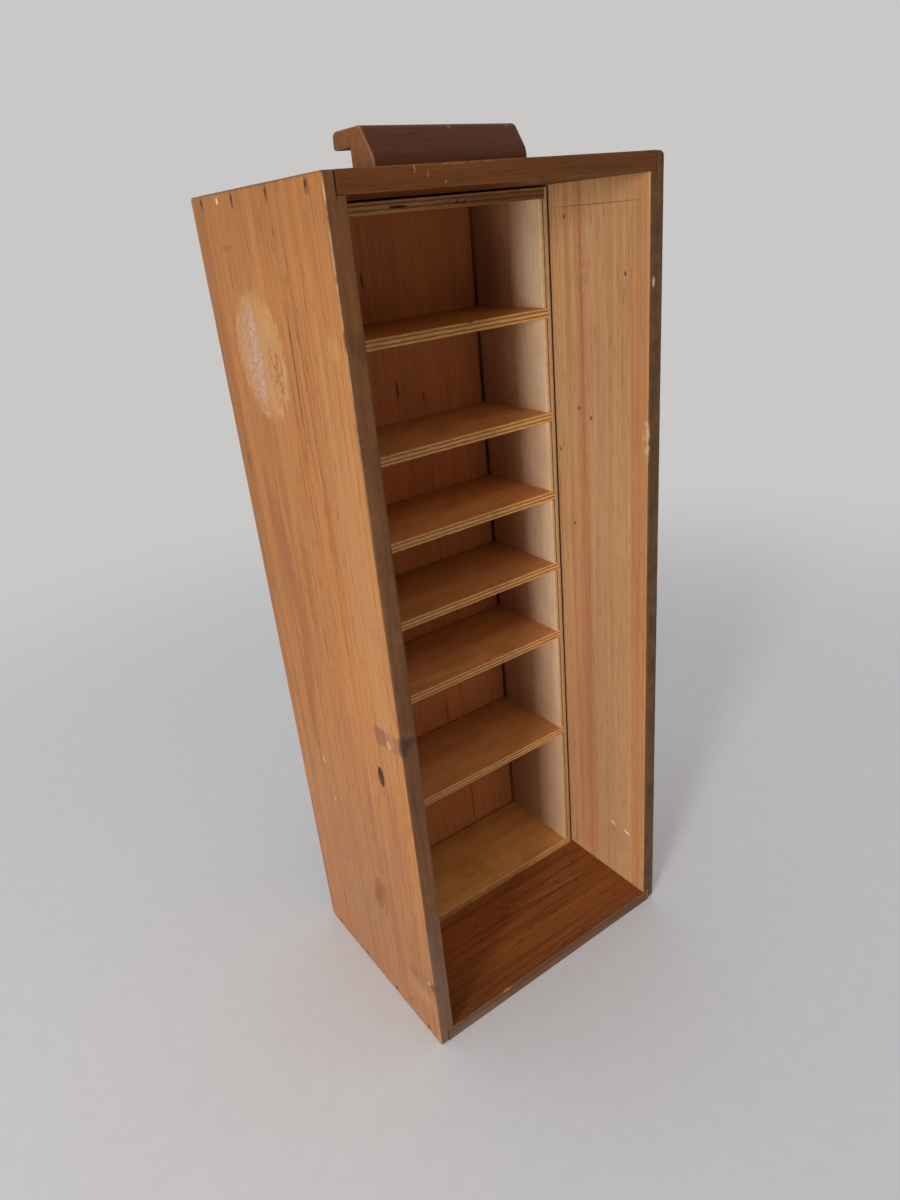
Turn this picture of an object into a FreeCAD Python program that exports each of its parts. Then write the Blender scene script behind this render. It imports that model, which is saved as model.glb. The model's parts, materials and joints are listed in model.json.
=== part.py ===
import FreeCAD, Part
import math
import os
import re
import Sketcher

# An upright box of thin boards with an open front, a finger pull on its top board, and a
# plywood tray of shelves that draws out of the front. The box is built around the tray, so
# its outside follows from the rooms between the shelves and from what stands around them.
# Millimetres, +Z up, open front towards -Y, origin under the middle of the box.

sizes = {
    # Clear rooms of the tray, from the top one down.
    "room_1": 59.5,
    "room_2": 57.0,
    "room_3": 46.0,
    "room_4": 45.5,
    "room_5": 46.5,
    "room_6": 76.5,
    "room_7": 100.9,
    "room_width": 159.6,
    # Tray of plywood, and the gaps it stands in.
    "tray_depth": 65.2,
    "wall_ply": 6.0,
    "shelf_ply": 6.0,
    "housing_depth": 4.0,
    "tray_set_back": 76.0,
    "tray_side_gap": 2.2,
    "tray_top_gap": 1.0,
    "tray_floor_gap": 0.1,
    "tray_back_gap": 0.8,
    # Boards of the box. The lip is what each side keeps outside its rabbets.
    "side_thickness": 10.0,
    "end_thickness": 9.5,
    "lip_thickness": 5.5,
    "back_thickness": 5.0,
    "back_end_gap": 0.4,
    "joint_fit": 0.05,
    # Finger pull: a foot with an upright front, a bevel above it and a lip to the back.
    "pull_length": 92.6,
    "pull_set_back": 45.6,
    "pull_stem": 19.6,
    "pull_reach": 15.8,
    "pull_rise": 20.8,
    "pull_lip": 8.2,
    "pull_foot": 6.5,
    "pull_bevel": 9.6,
    "pull_nose": 3.6,
    "pull_ridge": 1.6,
    # Countersunk screws that hold the pull. Heads and shanks are radii.
    "screw_spacing": 56.0,
    "screw_head": 3.4,
    "screw_shank": 1.7,
    "screw_sink": 2.6,
    "screw_length": 20.0,
    "screw_point": 4.0,
    "screw_slot": 1.0,
    "slot_depth": 0.9,
    # Nails at the box's corners. Heads and shanks are radii.
    "nail_head": 1.3,
    "nail_shank": 0.8,
    "nail_cap": 0.8,
    "nail_length": 28.0,
    "nail_point": 3.0,
    "nail_sink": 0.2,
    "nail_edge": 3.6,
    "nail_margin": 14.5,
    # Panel pins of the back and the tray. Heads and shanks are radii.
    "pin_head": 1.1,
    "pin_shank": 0.6,
    "pin_cap": 0.6,
    "pin_length": 16.0,
    "pin_point": 2.0,
    "pin_sink": 0.2,
    "back_pin_margin": 30.0,
    "back_pin_inset": 53.0,
    "tray_pin_margin": 14.0,
}

room_count = 7
nails_per_corner = 4
pins_per_side = 6
pins_per_end = 3
pins_per_shelf = 2

left_hand = -1
right_hand = 1
to_right = FreeCAD.Vector(1, 0, 0)
to_back = FreeCAD.Vector(0, 1, 0)
to_top = FreeCAD.Vector(0, 0, 1)

# Lengths that follow from the sizes, as formulas.
rooms = [f"room_{number}" for number in range(1, room_count + 1)]
tray_height = f"({' + '.join(rooms)} + {room_count + 1} * shelf_ply)"
tray_floor = "(end_thickness + tray_floor_gap)"
tray_width = "(room_width + 2 * wall_ply)"
box_height = f"({tray_floor} + {tray_height} + tray_top_gap + end_thickness)"
box_width = f"({tray_width} + 2 * (tray_side_gap + side_thickness))"
box_depth = "(tray_set_back + tray_depth + tray_back_gap + back_thickness)"
front = f"(-{box_depth} / 2)"
back = f"({box_depth} / 2)"
back_seat = f"({back} - back_thickness)"
tray_front = f"({front} + tray_set_back)"
end_reach = f"({box_width} / 2 - lip_thickness - joint_fit)"
shelf_reach = "(room_width / 2 + housing_depth - joint_fit)"

doc = FreeCAD.newDocument("bobbin_box")
sheet = doc.addObject("Spreadsheet::Sheet", "sizes")
pieces = []


def fill_sheet():
    for row, (alias, number) in enumerate(sizes.items(), start=1):
        sheet.set(f"A{row}", alias)
        sheet.set(f"B{row}", str(number))
        sheet.setAlias(f"B{row}", alias)
    doc.recompute()


def tied(formula):
    return re.sub(r"[a-z]\w*", lambda word: "sizes." + word.group(), formula)


def bind(thing, path, formula):
    thing.setExpression(path, tied(formula))


def set_base(thing, base):
    for axis, formula in zip("xyz", base):
        bind(thing, f"Placement.Base.{axis}", formula)


def keep(label, thing):
    thing.Label = label
    pieces.append(thing)


def origin_feature(body, role):
    return next(item for item in body.Origin.OriginFeatures if item.Role == role)


def outline(body, role, corners):
    # A closed run of straight lines, with each corner tied to the sheet.
    sketch = body.newObject("Sketcher::SketchObject", body.Name + "_outline")
    sketch.AttachmentSupport = (origin_feature(body, role), [""])
    sketch.MapMode = "FlatFace"
    count = len(corners)
    turn = 2 * math.pi / count
    starts = [FreeCAD.Vector(math.cos(turn * step), math.sin(turn * step), 0) for step in range(count)]
    for step, start in enumerate(starts):
        sketch.addGeometry(Part.LineSegment(start, starts[(step + 1) % count]))
    for step in range(count):
        sketch.addConstraint(Sketcher.Constraint("Coincident", step, 2, (step + 1) % count, 1))
    for step, (across, up) in enumerate(corners):
        start = starts[step]
        for kind, formula, value in (("DistanceX", across, start.x), ("DistanceY", up, start.y)):
            place = sketch.addConstraint(Sketcher.Constraint(kind, -1, 1, step, 1, value))
            bind(sketch, f"Constraints[{place}]", formula)
    return sketch


def padded(name, role, corners, length, flipped):
    body = doc.addObject("PartDesign::Body", name)
    sketch = outline(body, role, corners)
    pad = body.newObject("PartDesign::Pad", name + "_pad")
    pad.Profile = sketch
    pad.Reversed = flipped
    bind(pad, "Length", length)
    return body


def turned(name, corners):
    # A round piece standing on its own origin, point upwards.
    body = doc.addObject("PartDesign::Body", name)
    sketch = outline(body, "XZ_Plane", corners)
    round_piece = body.newObject("PartDesign::Revolution", name + "_turned")
    round_piece.Profile = sketch
    round_piece.ReferenceAxis = (origin_feature(body, "Z_Axis"), [""])
    return body


def board(name, low, high):
    box = doc.addObject("Part::Box", name)
    for side, start, end in zip(("Length", "Width", "Height"), low, high):
        bind(box, side, f"{end} - ({start})")
    set_base(box, low)
    return box


def bored(label, blank, tools):
    joined = doc.addObject("Part::MultiFuse", label + "_tools")
    joined.Shapes = tools
    piece = doc.addObject("Part::Cut", label)
    piece.Base = blank
    piece.Tool = joined
    keep(label, piece)


def grouped(label, members):
    group = doc.addObject("Part::Compound", label)
    group.Links = members
    keep(label, group)


def spike_corners(kind, top, grow):
    head = f"{kind}_head + {grow}"
    shank = f"{kind}_shank + {grow}"
    neck = f"{kind}_sink + {kind}_cap + {grow}"
    shoulder = f"{kind}_sink + {kind}_length - {kind}_point"
    tip = f"{kind}_sink + {kind}_length + {grow}"
    return [("0", top), (head, top), (head, neck), (shank, neck), (shank, shoulder), ("0", tip)]


def spike_row(name, kind, base, along, drive, run, count):
    # Nails or pins in a row, sunk from the face that base lies on, and the holes they make.
    row = []
    for suffix, top, grow in (("", f"{kind}_sink", "0"), ("_holes", f"-{kind}_sink", "joint_fit")):
        body = turned(name + suffix, spike_corners(kind, top, grow))
        pattern = body.newObject("PartDesign::LinearPattern", body.Name + "_row")
        pattern.Originals = [body.Tip]
        pattern.Direction = (origin_feature(body, "X_Axis"), [""])
        pattern.Occurrences = count
        bind(pattern, "Length", run)
        body.Tip = pattern
        body.Placement.Rotation = FreeCAD.Rotation(along, FreeCAD.Vector(), drive, "ZXY")
        set_base(body, base)
        row.append(body)
    return row


def corner_nails(label, hand, height):
    base = (f"{hand} * {box_width} / 2", f"{front} + nail_margin", height)
    run = f"{box_depth} - 2 * nail_margin"
    nails, holes = spike_row(label, "nail", base, to_back, to_right * -hand, run, nails_per_corner)
    keep(label, nails)
    return holes


def back_side_pins(name, hand):
    across = f"{hand} * ({box_width} / 2 - (lip_thickness + side_thickness) / 2)"
    run = f"{box_height} - 2 * back_pin_margin"
    base = (across, back, "back_pin_margin")
    return spike_row(name, "pin", base, to_top, to_back * -1, run, pins_per_side)


def back_end_pins(name, height):
    base = (f"back_pin_inset - {box_width} / 2", back, height)
    run = f"{box_width} - 2 * back_pin_inset"
    return spike_row(name, "pin", base, to_right, to_back * -1, run, pins_per_end)


def side(label, hand, holes):
    outer = f"{hand} * {box_width} / 2"
    lip = f"{hand} * ({box_width} / 2 - lip_thickness)"
    inner = f"{hand} * ({box_width} / 2 - side_thickness)"
    low = "end_thickness + joint_fit"
    high = f"{box_height} - end_thickness - joint_fit"
    corners = [(outer, "0"), (lip, "0"), (lip, low), (inner, low), (inner, high), (lip, high)]
    corners += [(lip, box_height), (outer, box_height)]
    blank = padded(label + "_blank", "XZ_Plane", corners, box_depth, True)
    set_base(blank, ("0", front, "0"))
    start, end = (lip, inner) if hand == left_hand else (inner, lip)
    rabbet = board(label + "_rabbet", (start, f"{back_seat} - joint_fit", "0"), (end, back, box_height))
    bored(label, blank, [rabbet] + holes)


def end_board(label, floor, tools):
    low = (f"-{end_reach}", front, floor)
    high = (end_reach, f"{back_seat} - joint_fit", f"{floor} + end_thickness")
    bored(label, board(label + "_blank", low, high), tools)


def back_panel(holes):
    low = (f"-{end_reach}", back_seat, "back_end_gap")
    high = (end_reach, back, f"{box_height} - back_end_gap")
    bored("back_panel", board("back_panel_blank", low, high), holes)


def long_edge(shape, across, up):
    # The name of the edge that runs the pull's length at this place in its section.
    spot = FreeCAD.Vector(shape.BoundBox.Center.x, across, up)
    nearest = min(shape.Edges, key=lambda edge: edge.CenterOfMass.distanceToPoint(spot))
    number = next(index for index, edge in enumerate(shape.Edges, start=1) if edge.isSame(nearest))
    return f"Edge{number}"


def pull(holes):
    tail = "pull_stem + pull_reach"
    under = "pull_rise - pull_lip"
    corners = [("0", "0"), ("pull_stem", "0"), ("pull_stem", under), (tail, under)]
    corners += [(tail, "pull_rise"), ("pull_bevel", "pull_rise"), ("0", "pull_foot")]
    blank = padded("pull_blank", "YZ_Plane", corners, "pull_length", False)
    doc.recompute()
    nose = sheet.pull_stem + sheet.pull_reach
    for radius, across in (("pull_nose", nose), ("pull_ridge", sheet.pull_bevel)):
        base = blank.Tip
        rounding = blank.newObject("PartDesign::Fillet", radius + "_rounding")
        rounding.Base = (base, [long_edge(base.Shape, across, sheet.pull_rise)])
        bind(rounding, "Radius", radius)
        doc.recompute()
    set_base(blank, ("-pull_length / 2", f"{front} + pull_set_back", box_height))
    bored("pull", blank, holes)


def screw_corners(top, grow):
    head = f"screw_head + {grow}"
    shank = f"screw_shank + {grow}"
    shoulder = "screw_length - screw_point"
    tip = f"screw_length + {grow}"
    return [("0", top), (head, top), (shank, "screw_sink"), (shank, shoulder), ("0", tip)]


def slotted_screw(name):
    body = turned(name, screw_corners("0", "0"))
    half = "screw_slot / 2"
    corners = [("-screw_head", f"-{half}"), ("screw_head", f"-{half}")]
    corners += [("screw_head", half), ("-screw_head", half)]
    slot = body.newObject("PartDesign::Pocket", name + "_slot")
    slot.Profile = outline(body, "XY_Plane", corners)
    slot.Reversed = True
    bind(slot, "Length", "slot_depth")
    return body


def pull_screws():
    screws = []
    holes = []
    for hand in (left_hand, right_hand):
        place = (f"{hand} * screw_spacing / 2", f"{front} + pull_set_back + pull_stem / 2",
                 f"{box_height} - end_thickness")
        word = "left" if hand == left_hand else "right"
        screw = slotted_screw(f"{word}_screw")
        hole = turned(f"{word}_screw_hole", screw_corners("-joint_fit", "joint_fit"))
        for body in (screw, hole):
            set_base(body, place)
        screws.append(screw)
        holes.append(hole)
    grouped("pull_screws", screws)
    return holes


def level(number):
    # Height of the underside of a tray board, counted up from the tray's bottom.
    return " + ".join([tray_floor, f"{number} * shelf_ply"] + rooms[room_count - number:])


def shelf_pins(name, hand, number):
    height = f"{level(number)} + shelf_ply / 2"
    base = (f"{hand} * {tray_width} / 2", f"{tray_front} + tray_pin_margin", height)
    run = "tray_depth - 2 * tray_pin_margin"
    return spike_row(name, "pin", base, to_back, to_right * -hand, run, pins_per_shelf)


def tray_wall(label, hand, holes):
    outer = f"{hand} * {tray_width} / 2"
    inner = f"{hand} * room_width / 2"
    deep = f"{hand} * (room_width / 2 + housing_depth)"
    top = level(room_count) + " + shelf_ply"
    corners = [(outer, tray_floor), (deep, tray_floor)]
    for number in range(room_count):
        ceiling = f"{level(number)} + shelf_ply + joint_fit"
        ledge = f"{level(number + 1)} - joint_fit"
        corners += [(deep, ceiling), (inner, ceiling), (inner, ledge), (deep, ledge)]
    corners += [(deep, top), (outer, top)]
    blank = padded(label + "_blank", "XZ_Plane", corners, "tray_depth", True)
    set_base(blank, ("0", tray_front, "0"))
    bored(label, blank, holes)


def tray_board(label, number, holes):
    low = (f"-{shelf_reach}", tray_front, level(number))
    high = (shelf_reach, f"{tray_front} + tray_depth", f"{level(number)} + shelf_ply")
    bored(label, board(label + "_blank", low, high), holes)


def make_box():
    upper = f"{box_height} - nail_edge"
    left_top = corner_nails("left_top_nails", left_hand, upper)
    right_top = corner_nails("right_top_nails", right_hand, upper)
    left_bottom = corner_nails("left_bottom_nails", left_hand, "nail_edge")
    right_bottom = corner_nails("right_bottom_nails", right_hand, "nail_edge")
    left_pins, left_pin_holes = back_side_pins("back_left_pins", left_hand)
    right_pins, right_pin_holes = back_side_pins("back_right_pins", right_hand)
    top_pins, top_pin_holes = back_end_pins("back_top_pins", f"{box_height} - end_thickness / 2")
    bottom_pins, bottom_pin_holes = back_end_pins("back_bottom_pins", "end_thickness / 2")
    screw_holes = pull_screws()
    grouped("back_pins", [left_pins, right_pins, top_pins, bottom_pins])
    side("left_side", left_hand, [left_top, left_bottom, left_pin_holes])
    side("right_side", right_hand, [right_top, right_bottom, right_pin_holes])
    top_holes = [left_top, right_top, top_pin_holes] + screw_holes
    end_board("top_board", f"{box_height} - end_thickness", top_holes)
    end_board("bottom_board", "0", [left_bottom, right_bottom, bottom_pin_holes])
    back_panel([left_pin_holes, right_pin_holes, top_pin_holes, bottom_pin_holes])
    pull(screw_holes)


def make_tray():
    labels = ["tray_bottom"]
    labels += [f"shelf_{number}" for number in range(room_count - 1, 0, -1)]
    labels += ["tray_top"]
    holes = {label: [] for label in labels}
    for word, hand in (("left", left_hand), ("right", right_hand)):
        pins = []
        wall_holes = []
        for number, label in enumerate(labels):
            row, row_holes = shelf_pins(f"{label}_{word}_pins", hand, number)
            pins.append(row)
            wall_holes.append(row_holes)
            holes[label].append(row_holes)
        grouped(f"tray_{word}_pins", pins)
        tray_wall(f"tray_{word}_wall", hand, wall_holes)
    for number, label in enumerate(labels):
        tray_board(label, number, holes[label])


def check_pieces():
    faults = [thing.Label for thing in doc.Objects if {"Invalid", "Error"} & set(thing.State)]
    faults += [piece.Label for piece in pieces if piece.Shape.isNull() or not piece.Shape.isValid()]
    if faults:
        raise RuntimeError("failed: " + ", ".join(faults))


def write_pieces():
    os.makedirs("parts", exist_ok=True)
    for piece in pieces:
        piece.Shape.exportStep(f"parts/{piece.Label}.step")
        print(piece.Label, len(piece.Shape.Solids), "solids", round(piece.Shape.Volume, 1), "mm3")


fill_sheet()
make_box()
make_tray()
doc.recompute()
check_pieces()
write_pieces()
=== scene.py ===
import json
import math
import random
from functools import partial
import bpy
from mathutils import Matrix, Vector

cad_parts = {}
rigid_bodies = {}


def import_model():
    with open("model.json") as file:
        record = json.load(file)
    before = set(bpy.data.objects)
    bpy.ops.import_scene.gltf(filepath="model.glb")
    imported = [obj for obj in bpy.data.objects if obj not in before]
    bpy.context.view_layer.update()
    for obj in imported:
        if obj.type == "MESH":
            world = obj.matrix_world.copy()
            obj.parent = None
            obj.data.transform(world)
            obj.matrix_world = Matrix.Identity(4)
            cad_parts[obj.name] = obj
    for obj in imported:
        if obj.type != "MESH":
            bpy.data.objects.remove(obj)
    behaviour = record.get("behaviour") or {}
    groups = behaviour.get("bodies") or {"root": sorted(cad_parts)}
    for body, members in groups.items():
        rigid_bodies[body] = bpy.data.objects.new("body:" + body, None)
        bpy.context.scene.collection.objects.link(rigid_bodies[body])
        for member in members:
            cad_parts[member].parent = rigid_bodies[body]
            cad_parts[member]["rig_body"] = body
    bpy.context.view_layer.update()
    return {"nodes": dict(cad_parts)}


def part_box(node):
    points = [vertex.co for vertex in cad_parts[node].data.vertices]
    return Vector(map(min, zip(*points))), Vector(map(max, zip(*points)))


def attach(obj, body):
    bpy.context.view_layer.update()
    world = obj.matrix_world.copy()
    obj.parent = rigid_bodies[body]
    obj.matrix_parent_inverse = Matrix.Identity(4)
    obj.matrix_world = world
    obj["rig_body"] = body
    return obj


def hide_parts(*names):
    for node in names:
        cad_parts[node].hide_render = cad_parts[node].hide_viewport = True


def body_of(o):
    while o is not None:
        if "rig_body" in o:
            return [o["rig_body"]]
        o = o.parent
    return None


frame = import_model()
mm = 0.001
hair = 0.02 * mm  # points nearer than this count as being in the same place
axes = {"x": Vector((1, 0, 0)), "y": Vector((0, 1, 0)), "z": Vector((0, 0, 1))}
print("frame loaded:", len(frame["nodes"]), "nodes")


def colour(code):
    # sRGB hex to linear
    steps = [int(code[place:place + 2], 16) / 255 for place in (1, 3, 5)]
    return [s / 12.92 if s <= 0.04045 else ((s + 0.055) / 1.055) ** 2.4 for s in steps] + [1.0]


def plug(node, links):
    # a socket is linked, any other value is set
    for socket, value in links.items():
        if isinstance(value, bpy.types.NodeSocket):
            node.id_data.links.new(value, node.inputs[socket])
        else:
            node.inputs[socket].default_value = value


def addNode(tree, kind, links=None, out=0, stops=None, **settings):
    made = tree.nodes.new("ShaderNode" + kind)
    for name, value in settings.items():
        setattr(made, name, value)
    plug(made, links or {})
    if stops:
        ramp = made.color_ramp.elements
        while len(ramp) < len(stops):
            ramp.new(0.5)
        for step, (place, tone) in zip(ramp, stops):
            step.position = place
            step.color = colour(tone) if isinstance(tone, str) else (tone, tone, tone, 1)
    return made if out is None else made.outputs[out]


blend = dict(out=2, data_type="RGBA")  # for a mix of colours
smooth = dict(interpolation_type="SMOOTHSTEP")


def newMaterial(name):
    material = bpy.data.materials.new(name)
    material.use_nodes = True
    tree = material.node_tree
    return material, partial(addNode, tree), tree.nodes["Principled BSDF"]


def woodSpace(add, cut, seed):
    # the piece's own millimetres, turned so that the last axis runs along the grain
    spot = add("TexCoord", out="Object")
    inMm = add("VectorMath", {0: spot, "Scale": 1 / mm}, operation="SCALE")
    split = add("SeparateXYZ", {0: inMm}, out=None)
    across, deep, along = (split.outputs[axis] for axis in cut)
    wood = add("CombineXYZ", {0: across, 1: deep, 2: along})
    seeded = add("VectorMath", {0: wood, 1: [seed * 37.0] * 3}, operation="ADD")
    return inMm, wood, seeded


def grainOver(add, wood, sizes, detail, out=0):
    # how the wood varies over so many mm across, deep and along the grain
    scaled = add("VectorMath", {0: wood, 1: [1 / size for size in sizes]}, operation="MULTIPLY")
    return add("TexNoise", {"Vector": scaled, "Scale": 1.0, "Detail": detail}, out=out)


def blot(at, size, cover, tone, **more):
    # one mark on the wood: an oval about a place, with its half sizes in mm
    return dict(more, at=at, size=size, cover=cover, tone=tone)


def paintMarks(add, base, inMm, marks):
    # knots, stains, scratches, rubbed spots, residue, and patches of painted shade and shadow
    tear = add("TexNoise", {"Vector": inMm, "Scale": 1 / 3.2, "Detail": 3.0}, out="Color")
    tear = add("VectorMath", {0: tear, 1: (0.5, 0.5, 0.5)}, operation="SUBTRACT")
    for mark in marks:
        torn = add("VectorMath", {0: tear, "Scale": mark.get("ragged", 2.0)}, operation="SCALE")
        placed = add("VectorMath", {0: inMm, 1: torn}, operation="ADD")
        turn = [math.radians(angle) for angle in mark.get("turn", (0, 0, 0))]
        near = add("Mapping", {0: placed, "Location": mark["at"], "Rotation": turn, "Scale": mark["size"]},
                   vector_type="TEXTURE")
        for count in range(mark.get("square", 0)):  # each step squares the outline's corners further
            near = add("VectorMath", {0: near, 1: near}, operation="MULTIPLY")
        reach = add("VectorMath", {0: near}, out="Value", operation="LENGTH")
        if "ring" in mark:
            reach = add("Math", {0: reach, 1: 1.0}, operation="SUBTRACT")
            reach = add("Math", {0: reach}, operation="ABSOLUTE")
            reach = add("Math", {0: reach, 1: mark["ring"]}, operation="DIVIDE")
        cover = add("MapRange", {0: reach, 1: mark.get("core", 0.6), 2: mark.get("rim", 1.2),
                                 3: mark["cover"], 4: 0.0}, **smooth)
        if "patchy" in mark:
            speck = add("TexNoise", {"Vector": inMm, "Scale": 1 / mark["patchy"], "Detail": 5.0})
            speck = add("MapRange", {0: speck, 1: 0.44, 2: 0.6, 3: 0.0, 4: 1.0})
            cover = add("Math", {0: cover, 1: speck}, operation="MULTIPLY")
        base = add("Mix", {0: cover, 6: base, 7: colour(mark["tone"])}, **blend)
    return base


# Solid pine, planed and then oiled or stained. Early wood is pale and late wood makes thin dark lines,
# so the rings show as straight lines or flames on the faces and as arcs on the ends.
def pine(name, look):
    material, add, shader = newMaterial(name)
    inMm, wood, seeded = woodSpace(add, look["cut"], look["seed"])

    # slow wander of the grain, about 70 mm wide and 400 mm long
    wander = grainOver(add, seeded, (70, 70, 400), 1.0, out="Color")
    wander = add("VectorMath", {0: wander, 1: (0.5, 0.5, 0.5)}, operation="SUBTRACT")
    wander = add("VectorMath", {0: wander, "Scale": look["wander"]}, operation="SCALE")
    bent = add("VectorMath", {0: wood, 1: wander}, operation="ADD")
    for knot in look.get("knots", []):  # the lines part round each knot
        near = add("Mapping", {0: wood, "Location": knot["at"], "Scale": knot["size"]},
                   vector_type="TEXTURE")
        reach = add("VectorMath", {0: near}, out="Value", operation="LENGTH")
        fall = add("MapRange", {0: reach, 1: 0.0, 2: 3.0, 3: knot["push"], 4: 0.0},
                   interpolation_type="SMOOTHERSTEP")
        side = add("VectorMath", {0: near, 1: (-1, 0, 0)}, operation="MULTIPLY")
        side = add("VectorMath", {0: side, 1: (1, 1, 1)}, operation="MINIMUM")
        side = add("VectorMath", {0: side, 1: (-1, -1, -1)}, operation="MAXIMUM")
        shift = add("VectorMath", {0: side, "Scale": fall}, operation="SCALE")
        bent = add("VectorMath", {0: bent, 1: shift}, operation="ADD")

    # year rings round the heart of the tree, clear in some places and faint in others
    heart = add("VectorMath", {0: bent, 1: (*look["heart"], 0)}, operation="SUBTRACT")
    flat = add("VectorMath", {0: heart, 1: (1, 1, 0)}, operation="MULTIPLY")
    radius = add("VectorMath", {0: flat}, out="Value", operation="LENGTH")
    rings = add("Math", {0: radius, 1: look["ring"]}, operation="DIVIDE")
    years = add("TexNoise", {"W": rings, "Scale": 0.19, "Detail": 2.0}, noise_dimensions="1D")
    uneven = add("Math", {0: years, 1: 6.0, 2: rings}, operation="MULTIPLY_ADD")
    year = add("Math", {0: uneven}, operation="FRACT")
    late = add("ValToRGB", {0: year}, stops=[(0, 0.1), (0.4, 0.15), (0.82, 0.9), (0.92, 1), (1, 0.1)])
    clear = add("MapRange", {0: grainOver(add, seeded, (16, 16, 130), 2.0), 1: 0.34, 2: 0.66,
                             3: 0.25 * look["lines"], 4: look["lines"]})
    late = add("Math", {0: late, 1: clear}, operation="MULTIPLY")

    # streaks a few mm wide, fibres under a mm, short dark resin dashes, and broad shading
    streak = grainOver(add, seeded, (4, 4, 160), 5.0)
    thread = grainOver(add, seeded, (1.3, 1.3, 60), 3.0)
    fibre = grainOver(add, seeded, (0.7, 0.7, 26), 2.0)
    dash = grainOver(add, seeded, (1.2, 1.2, 12), 1.0)
    broad = grainOver(add, seeded, (34, 34, 170), 3.0)
    base = add("Mix", {0: late, 6: colour(look["early"]), 7: colour(look["late"])}, **blend)
    streaky = add("MapRange", {0: streak, 1: 0.46, 2: 0.72, 3: 0.0, 4: look["streaks"]}, **smooth)
    base = add("Mix", {0: streaky, 6: base, 7: colour(look["streak"])}, **blend)
    shade = add("MapRange", {0: broad, 1: 0.25, 2: 0.75, 3: 1 - look["shade"], 4: 1 + look["shade"]})
    fine = add("MapRange", {0: fibre, 1: 0.25, 2: 0.75, 3: 0.9, 4: 1.09})
    tone = add("Math", {0: shade, 1: fine}, operation="MULTIPLY")
    pale, dull = 1 + 0.4 * look["threads"], 1 - look["threads"]
    threads = add("MapRange", {0: thread, 1: 0.3, 2: 0.68, 3: pale, 4: dull})
    tone = add("Math", {0: tone, 1: threads}, operation="MULTIPLY")
    base = add("VectorMath", {0: base, "Scale": tone}, operation="SCALE")
    dashed = add("MapRange", {0: dash, 1: 0.6, 2: 0.74, 3: 0.0, 4: look["dashes"]})
    base = add("Mix", {0: dashed, 6: base, 7: colour(look["late"])}, blend_type="MULTIPLY", **blend)

    # faces that were handled or stained have their own tone
    normal = add("NewGeometry", out="Normal")
    grain = grainOver(add, seeded, (2.5, 2.5, 40), 3.0)
    grain = add("MapRange", {0: grain, 1: 0.3, 2: 0.7, 3: 0.0, 4: 1.0})
    cloud = add("TexNoise", {"Vector": inMm, "Scale": 1 / 9, "Detail": 4.0})
    for face in look.get("faces", []):
        facing = add("VectorMath", {0: normal, 1: face["to"]}, out="Value", operation="DOT_PRODUCT")
        cover = add("MapRange", {0: facing, 1: 0.15, 2: 0.55, 3: 0.0, 4: face["cover"]}, **smooth)
        thin = add("MapRange", {0: cloud, 1: 0.4, 2: 0.75, 3: 1.0, 4: 1 - face["thin"]})
        cover = add("Math", {0: cover, 1: thin}, operation="MULTIPLY")
        figure = add("Math", {0: 1.0, 1: late}, operation="SUBTRACT") if face.get("ringed") else grain
        coat = add("Mix", {0: figure, 6: colour(face["dark"]), 7: colour(face["light"])}, **blend)
        base = add("Mix", {0: cover, 6: base, 7: coat}, **blend)
    base = paintMarks(add, base, inMm, look.get("marks", []))

    # arrises rubbed through to bare wood
    rubbed = add("Attribute", out="Fac", attribute_name="rubbed")
    rubbed = add("MapRange", {0: rubbed, 1: 0.35, 2: 0.85, 3: 0.0, 4: look["rub"]})
    worn = add("MapRange", {0: cloud, 1: 0.36, 2: 0.56, 3: 0.0, 4: 1.0})
    edge = add("Math", {0: rubbed, 1: worn}, operation="MULTIPLY")
    base = add("Mix", {0: edge, 6: base, 7: colour(look["bare"])}, **blend)

    rough = add("MapRange", {0: fibre, 1: 0.3, 2: 0.7, 3: look["rough"] - 0.06, 4: look["rough"] + 0.08})
    relief = add("Math", {0: late, 1: 0.5, 2: fibre}, operation="MULTIPLY_ADD")
    bump = add("Bump", {"Height": relief, "Strength": 0.35, "Distance": 0.12 * mm})
    plug(shader, {"Base Color": base, "Roughness": rough, "Normal": bump,
                  "Specular IOR Level": look["sheen"]})
    return material


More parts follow.
